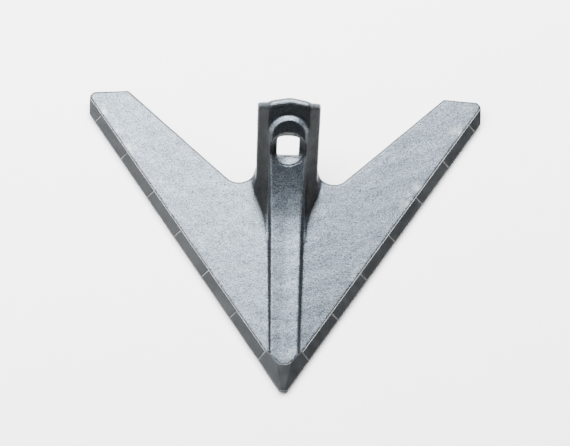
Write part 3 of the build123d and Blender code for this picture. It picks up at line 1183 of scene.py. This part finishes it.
@dataclass(frozen=True)
class ShadeAndWear:
    """Where shade and highlights are painted on the body, and where the wings are rubbed bright.

    Painted shade, in the steel's near-black colour, lies on the stem's flanks, sides and face,
    on the tongue's side walls, in the hole, on the front lip and on the trailing edges. Painted
    highlights lift it from the rounded end, the end of the tongue and the countersink's lower
    cone. The rubbing beside the tiles is real wear. A pair is the start and the end of a fade, in
    millimetres; the other numbers are shares of painted shade, unless their name says a length.
    """

    body: ForgedBody
    bend_length: float = 6.0
    face: float = 0.05
    upper_face: float = 0.7
    upper_fade: tuple[float, float] = (-8.0, 6.0)
    flank_length: float = 1.5
    flank_fade: tuple[float, float] = (-4.0, 12.0)
    wall: float = 0.9
    wall_length: float = 0.4
    wall_top: tuple[float, float] = (0.3, 0.7)
    wall_foot: tuple[float, float] = (-0.3, 0.3)
    wall_height: float = 3.2
    ledge_start: tuple[float, float] = (1.0, 3.0)
    ledge_inner: tuple[float, float] = (-0.6, 0.0)
    ledge_outer: tuple[float, float] = (1.6, 2.4)
    sink: float = 0.8
    sink_edge: tuple[float, float] = (-0.9, -0.5)
    sink_start: tuple[float, float] = (3.0, 6.0)
    bore_edge: tuple[float, float] = (0.2, 0.5)
    end_fade: tuple[float, float] = (-3.2, -2.2)
    end_middle: float = 0.75
    end_side: float = 0.4
    end_step: float = 1.0
    kept: float = 0.95
    side: float = 0.8
    side_length: float = 0.5
    wing_fade: tuple[float, float] = (0.5, 3.0)
    lip: float = 0.8
    lip_fade: tuple[float, float] = (0.5, 0.9)
    trailing_fade: tuple[float, float] = (-1.6, -0.8)
    rub_start: float = 1.2
    rub_length: float = 8.0

    def front(self, at: Place, climb: np.ndarray) -> np.ndarray:
        """Share of painted shade on the tongue's face, its side walls and the flanks, which turn
        from the light.

        Args:
            at: points of the body.
            climb: share of the way from the rib to the stem.

        Returns:
            Shares from 0 to 1.
        """
        body, straight = self.body, self.body.spine.straight
        half, bolt = body.shoulder_half, body.bolt_run
        # Painted shade on the tongue's face, deeper as it climbs the stem and deepest above the
        # bolt hole.
        face = self.face * climb + self.upper_face * fade(at.run - bolt, *self.upper_fade)
        # Painted shade on the flanks, which turn from the light.
        near = np.exp(-((body.flank(at) / self.flank_length) ** 2))
        flank = near * fade(at.x, half - self.flank_length, half)
        flank = flank * fade(at.run - straight, *self.flank_fade)
        # Painted shade on the tongue's steep side walls.
        wall = np.exp(-((body.tongue(at)[1] / self.wall_length) ** 2))
        wall = self.wall * wall * fade(-at.out, *self.wall_top)
        wall = wall * fade(self.wall_height + at.out, *self.wall_foot)
        return np.maximum.reduce([face, flank, wall])

    def painted_highlight(self, at: Place, sink: np.ndarray) -> np.ndarray:
        """Painted highlights on the tongue's end, the countersink's lower cone and the stem's end,
        which face the light: the share of painted shade that they lift.

        Args:
            at: points of the body.
            sink: share of the countersink's lower cone.

        Returns:
            Shares from 0 to 1.
        """
        body, half = self.body, self.body.shoulder_half
        beyond = at.run - body.tongue_centre
        arc = np.hypot(at.x, beyond) - body.tongue_width / 2
        # Painted highlight on the tongue's rounded end, which faces the light.
        ledge = fade(beyond, *self.ledge_start) * fade(arc, *self.ledge_inner)
        ledge = ledge * (1 - fade(arc, *self.ledge_outer))
        # Painted highlight on the stem's rounded top end, fainter towards its sides.
        side = fade(at.x, half - self.end_step, half)
        level = self.end_middle + (self.end_side - self.end_middle) * side
        end = fade(body.end(at), *self.end_fade) * level
        return np.maximum.reduce([ledge, self.sink * sink, end])

    def scale(self, at: Place) -> np.ndarray:
        """Share of painted shade on the body, lifted where highlights are painted.

        Args:
            at: points of the body.

        Returns:
            Shares from 0 to 1.
        """
        body, spine = self.body, self.body.spine
        side = body.stem_width / 2
        climb = fade(at.run, spine.straight - self.bend_length, spine.stem_run - self.bend_length)
        bolt = np.hypot(at.x, at.run - body.bolt_run) - body.countersink / 2
        # The countersink's lower cone faces the light and gets a painted highlight.
        sink = (1 - fade(bolt, *self.sink_edge)) * fade(body.bolt_run - at.run, *self.sink_start)
        # Painted shade inside the bolt hole.
        bore = (1 - fade(bolt, *self.bore_edge)) * (1 - sink) * climb
        shade_cover = self.front(at, climb) * (1 - self.kept * self.painted_highlight(at, sink))
        # Painted shade on the stem's sides, which turn from the light.
        flat = self.side * fade(at.x, side - self.side_length, side) * climb
        stem = np.maximum.reduce([shade_cover, self.kept * bore, flat])
        wing = fade(at.x - side, *self.wing_fade)
        # Painted shade on the front face of the lip under the tiles.
        lip = self.lip * (1 - fade(at.inward, *self.lip_fade))
        # Painted shade on the wings' trailing edges.
        trail = self.kept * fade(body.trail(at), *self.trailing_fade) * wing
        return np.maximum.reduce([stem * (1 - wing), lip, trail])

    def rub(self, at: Place) -> np.ndarray:
        """How near the points of the wings' tops are to the tiles.

        Args:
            at: points of the body.

        Returns:
            Shares from 0 to 1, 1 beside the tiles.
        """
        behind = at.inward - self.body.edge.seat_depth
        return fade(-behind, -self.rub_start - self.rub_length, -self.rub_start)


# --- carbide tiles and braze ---------------------------------------------------------
WELD = 0.01                      # corners closer than this are one, in millimetres
FLAT = 2.0                       # faces that meet at less than this are one, in degrees
SHARP = 12.0                     # edges that turn more than this are rounded, in degrees


def softened_copy(node: str, name: str, radius: float, shade: float) -> bpy.types.Object:
    """Copy of a CAD piece with its sharp edges rounded.

    Args:
        node: the CAD node to copy.
        name: name of the new object.
        radius: width of the rounding, in millimetres.
        shade: value of the piece's tile_shade attribute.

    Returns:
        The new object, linked to the scene.
    """
    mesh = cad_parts[node].data.copy()
    mesh.name = name
    mesh.materials.clear()
    work = bmesh.new()
    work.from_mesh(mesh)
    bmesh.ops.remove_doubles(work, verts=work.verts, dist=WELD * MM)
    bmesh.ops.dissolve_limit(
        work, angle_limit=math.radians(FLAT), verts=work.verts, edges=work.edges
    )
    sharp = [edge for edge in work.edges if edge.calc_face_angle(0) > math.radians(SHARP)]
    rounded = bmesh.ops.bevel(
        work, geom=sharp, offset=radius * MM, segments=3, profile=0.5,
        affect="EDGES", clamp_overlap=True,
    )
    bmesh.ops.recalc_face_normals(work, faces=work.faces)
    for face in work.faces:
        face.smooth = False
    for face in rounded["faces"]:
        face.smooth = True
    work.to_mesh(mesh)
    work.free()
    values = mesh.attributes.new("tile_shade", "FLOAT", "POINT")
    values.data.foreach_set("value", [shade] * len(mesh.vertices))
    piece = bpy.data.objects.new(name, mesh)
    bpy.context.scene.collection.objects.link(piece)
    return piece


class RowTree:
    """Geometry Nodes that lay copies of one tile along a straight edge."""

    def __init__(self) -> None:
        """Builds the node group with its named inputs."""
        self.group = bpy.data.node_groups.new("tile_row", "GeometryNodeTree")
        face = self.group.interface
        face.new_socket("Geometry", in_out="INPUT", socket_type="NodeSocketGeometry")
        self.sockets = {}
        for name, kind in (
            ("Count", "NodeSocketInt"),
            ("Pitch", "NodeSocketVector"),
            ("Unevenness", "NodeSocketFloat"),
            ("Seed", "NodeSocketInt"),
            ("Material", "NodeSocketMaterial"),
        ):
            self.sockets[name] = face.new_socket(name, in_out="INPUT", socket_type=kind).identifier
        face.new_socket("Geometry", in_out="OUTPUT", socket_type="NodeSocketGeometry")
        self._wire()

    def _wire(self) -> None:
        """Adds and joins the nodes: a line of copies, each lowered and shaded a little."""
        nodes, link = self.group.nodes, self.group.links.new
        start, end = nodes.new("NodeGroupInput"), nodes.new("NodeGroupOutput")
        line = nodes.new("GeometryNodeMeshLine")
        link(start.outputs["Count"], line.inputs["Count"])
        link(start.outputs["Pitch"], line.inputs["Offset"])
        copies = nodes.new("GeometryNodeInstanceOnPoints")
        link(line.outputs["Mesh"], copies.inputs["Points"])
        link(start.outputs["Geometry"], copies.inputs["Instance"])
        lift = nodes.new("FunctionNodeRandomValue")
        lift.data_type = "FLOAT"
        lowest, highest = lift.inputs[2:4]           # of the node's FLOAT sockets
        lowest.default_value = 0.0
        link(start.outputs["Unevenness"], highest)
        link(start.outputs["Seed"], lift.inputs["Seed"])
        rise = nodes.new("ShaderNodeCombineXYZ")
        drop = nodes.new("ShaderNodeMath")
        drop.operation = "MULTIPLY"
        drop.inputs[1].default_value = -1.0
        link(lift.outputs[1], drop.inputs[0])
        link(drop.outputs[0], rise.inputs["Z"])
        move = nodes.new("GeometryNodeTranslateInstances")
        link(copies.outputs["Instances"], move.inputs["Instances"])
        link(rise.outputs["Vector"], move.inputs["Translation"])
        shade = nodes.new("FunctionNodeRandomValue")
        shade.data_type = "FLOAT"
        link(start.outputs["Seed"], shade.inputs["Seed"])
        store = nodes.new("GeometryNodeStoreNamedAttribute")
        store.data_type, store.domain = "FLOAT", "INSTANCE"
        store.inputs["Name"].default_value = "tile_shade"
        link(move.outputs["Instances"], store.inputs["Geometry"])
        link(shade.outputs[1], store.inputs["Value"])
        real = nodes.new("GeometryNodeRealizeInstances")
        link(store.outputs["Geometry"], real.inputs["Geometry"])
        paint = nodes.new("GeometryNodeSetMaterial")
        link(real.outputs["Geometry"], paint.inputs["Geometry"])
        link(start.outputs["Material"], paint.inputs["Material"])
        link(paint.outputs["Geometry"], end.inputs["Geometry"])

    def apply(self, piece: bpy.types.Object, values: dict[str, object]) -> None:
        """Repeats a piece's mesh and keeps the plain result.

        Args:
            piece: the piece to repeat.
            values: values of the group's inputs, by name.
        """
        modifier = piece.modifiers.new("row", "NODES")
        modifier.node_group = self.group
        for name, value in values.items():
            modifier[self.sockets[name]] = value
        graph = bpy.context.evaluated_depsgraph_get()
        mesh = bpy.data.meshes.new_from_object(piece.evaluated_get(graph))
        piece.modifiers.remove(modifier)
        mesh.name = piece.data.name + "_row"
        piece.data = mesh


@dataclass
class TileRow:
    """The carbide tiles of one edge: a slanted first one, a row and a trimmed last."""

    side: Side
    material: bpy.types.Material
    seed: int
    shades: tuple[float, float]
    count: int = 7
    row_shade: float = 0.5
    rounding: float = 0.28
    unevenness: float = 0.06

    def node(self, index: int) -> str:
        """Name of a tile's CAD node."""
        return f"tile_{self.side.name.lower()}_{index}"

    def pitch(self) -> tuple[float, float, float]:
        """Measures the step from one middle tile to the next on the CAD pieces.

        Returns:
            The step along X, Y and Z, in metres.
        """
        first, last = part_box(self.node(2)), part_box(self.node(self.count - 1))
        steps = self.count - 3
        return tuple((b - a) / steps for a, b in zip(first[0], last[0]))

    def build(self, rows: RowTree) -> None:
        """Makes the tiles and stands them in for their CAD nodes.

        Args:
            rows: the node group that repeats the middle tile.
        """
        name = f"carbide_{self.side.name.lower()}"
        for index, shade in zip((1, self.count), self.shades):
            tile = softened_copy(self.node(index), f"{name}_{index}", self.rounding, shade)
            tile.data.materials.append(self.material)
            settle_piece(tile, Slot.CARBIDE, self.node(index))
        row = softened_copy(self.node(2), f"{name}_row", self.rounding, self.row_shade)
        values = {
            "Count": self.count - 2,
            "Pitch": self.pitch(),
            "Unevenness": self.unevenness * MM,
            "Seed": self.seed,
            "Material": self.material,
        }
        rows.apply(row, values)
        settle_piece(row, Slot.CARBIDE, *(self.node(index) for index in range(2, self.count)))


@dataclass
class NoseTile:
    """The chevron-shaped tile over the tip."""

    material: bpy.types.Material
    shade: float = 0.6
    rounding: float = 0.28

    def build(self) -> None:
        """Makes the tile and stands it in for its CAD node."""
        nose = softened_copy("nose_tile", "carbide_nose", self.rounding, self.shade)
        nose.data.materials.append(self.material)
        settle_piece(nose, Slot.CARBIDE, "nose_tile")


def paint_braze(material: bpy.types.Material) -> None:
    """Gives the CAD braze pieces their finish.

    Args:
        material: the finish.
    """
    for name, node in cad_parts.items():
        if name.startswith("braze_"):
            node.data.materials.clear()
            node.data.materials.append(material)
            settle_piece(node, Slot.BRAZE)


# --- studio --------------------------------------------------------------------------
FLOOR_CORNERS = ((-1, -1), (1, -1), (1, 1), (-1, 1))


@dataclass(frozen=True)
class SoftLight:
    """One rectangular soft light that looks at a point of the object.

    Attributes:
        name: name of the light.
        azimuth: direction of the light from the object, from +X towards +Y, in degrees.
        elevation: height of that direction above the ground, in degrees.
        distance: distance in metres.
        size: width and height in metres.
        power: radiant power in watts.
    """

    name: str
    azimuth: float
    elevation: float
    distance: float
    size: tuple[float, float]
    power: float

    def build(self) -> None:
        """Adds the light to the scene."""
        light = bpy.data.lights.new(self.name, "AREA")
        light.shape = "RECTANGLE"
        light.size, light.size_y = self.size
        light.energy = self.power
        turn, rise = math.radians(self.azimuth), math.radians(self.elevation)
        flat = math.cos(rise)
        spot = Vector((math.cos(turn) * flat, math.sin(turn) * flat, math.sin(rise)))
        lamp = bpy.data.objects.new(self.name, light)
        facing = spot.to_track_quat("Z", "Y").to_matrix().to_4x4()
        lamp.matrix_world = Matrix.Translation(spot * self.distance) @ facing
        bpy.context.scene.collection.objects.link(lamp)


@dataclass(frozen=True)
class Camera:
    """Steep view from above and in front.

    Attributes:
        tilt: lean from straight down towards the front, in degrees.
        swing: lean towards +X, in degrees.
        roll: turn about the line of sight, in degrees.
        distance: camera to target, in metres.
        target: point looked at, in metres.
        lens: focal length for a 36 mm sensor, in millimetres.
    """

    tilt: float = 19.93
    swing: float = -2.2
    roll: float = 0.64
    distance: float = 0.6522
    target: tuple[float, float, float] = (0.0001, 0.01053, 0.0)
    lens: float = 72.76

    def build(self) -> None:
        """Adds the camera and makes it the scene's own."""
        tilt, swing, roll = (math.radians(v) for v in (self.tilt, self.swing, self.roll))
        back = Vector((
            math.sin(swing) * math.cos(tilt), -math.sin(tilt), math.cos(swing) * math.cos(tilt)
        )).normalized()
        right = Vector((0, 1, 0)).cross(back).normalized()
        up = back.cross(right)
        side = right * math.cos(roll) + up * math.sin(roll)
        top = -right * math.sin(roll) + up * math.cos(roll)
        data = bpy.data.cameras.new("camera")
        data.sensor_width = 36.0
        data.lens = self.lens
        data.clip_start = 0.01
        eye = bpy.data.objects.new("camera", data)
        turn = Matrix((side, top, back)).transposed().to_4x4()
        eye.matrix_world = Matrix.Translation(Vector(self.target) + back * self.distance) @ turn
        bpy.context.scene.collection.objects.link(eye)
        bpy.context.scene.camera = eye


@dataclass
class Studio:
    """Pale floor, soft ambient light and soft boxes."""

    ambient: float = 0.06
    sky: Colour = (0.97, 0.985, 1.0)
    floor_half: float = 3000.0
    floor_gap: float = 0.02
    paint: FloorPaint = FloorPaint()
    lights: list[SoftLight] = field(default_factory=lambda: [
        SoftLight("overhead", 105, 60, 1.1, (1.8, 0.7), 111.0),
        SoftLight("left_fill", 194, 34, 1.0, (0.6, 0.5), 2.4),
    ])

    def floor(self) -> None:
        """Adds a large pale floor just under the object."""
        half, height = self.floor_half, CAD_BOX[0][2] / MM - self.floor_gap
        corners = np.array([(x * half, y * half, height) for x, y in FLOOR_CORNERS])
        floor = mesh_object("floor", corners, [range(len(corners))], smooth=False)
        floor.data.materials.append(self.paint.material())

    def build(self) -> None:
        """Adds floor, world light and lamps."""
        self.floor()
        world = bpy.data.worlds.new("studio")
        world.use_nodes = True
        background = world.node_tree.nodes["Background"]
        background.inputs["Color"].default_value = (*self.sky, 1.0)
        background.inputs["Strength"].default_value = self.ambient
        bpy.context.scene.world = world
        for light in self.lights:
            light.build()


def main() -> None:
    """Builds the sweep and the studio."""
    logging.basicConfig(level=logging.INFO, format="%(name)s: %(message)s")
    ForgedBody(EdgeLine(), Spine(), BlastedSteel()).build()
    carbide = SinteredCarbide().material()
    rows = RowTree()
    TileRow(Side.LEFT, carbide, 3, (0.45, 0.7)).build(rows)
    TileRow(Side.RIGHT, carbide, 8, (0.5, 0.3)).build(rows)
    NoseTile(carbide).build()
    paint_braze(BrazeMetal().material())
    Studio().build()
    Camera().build()


if __name__ == "__main__":
    main()
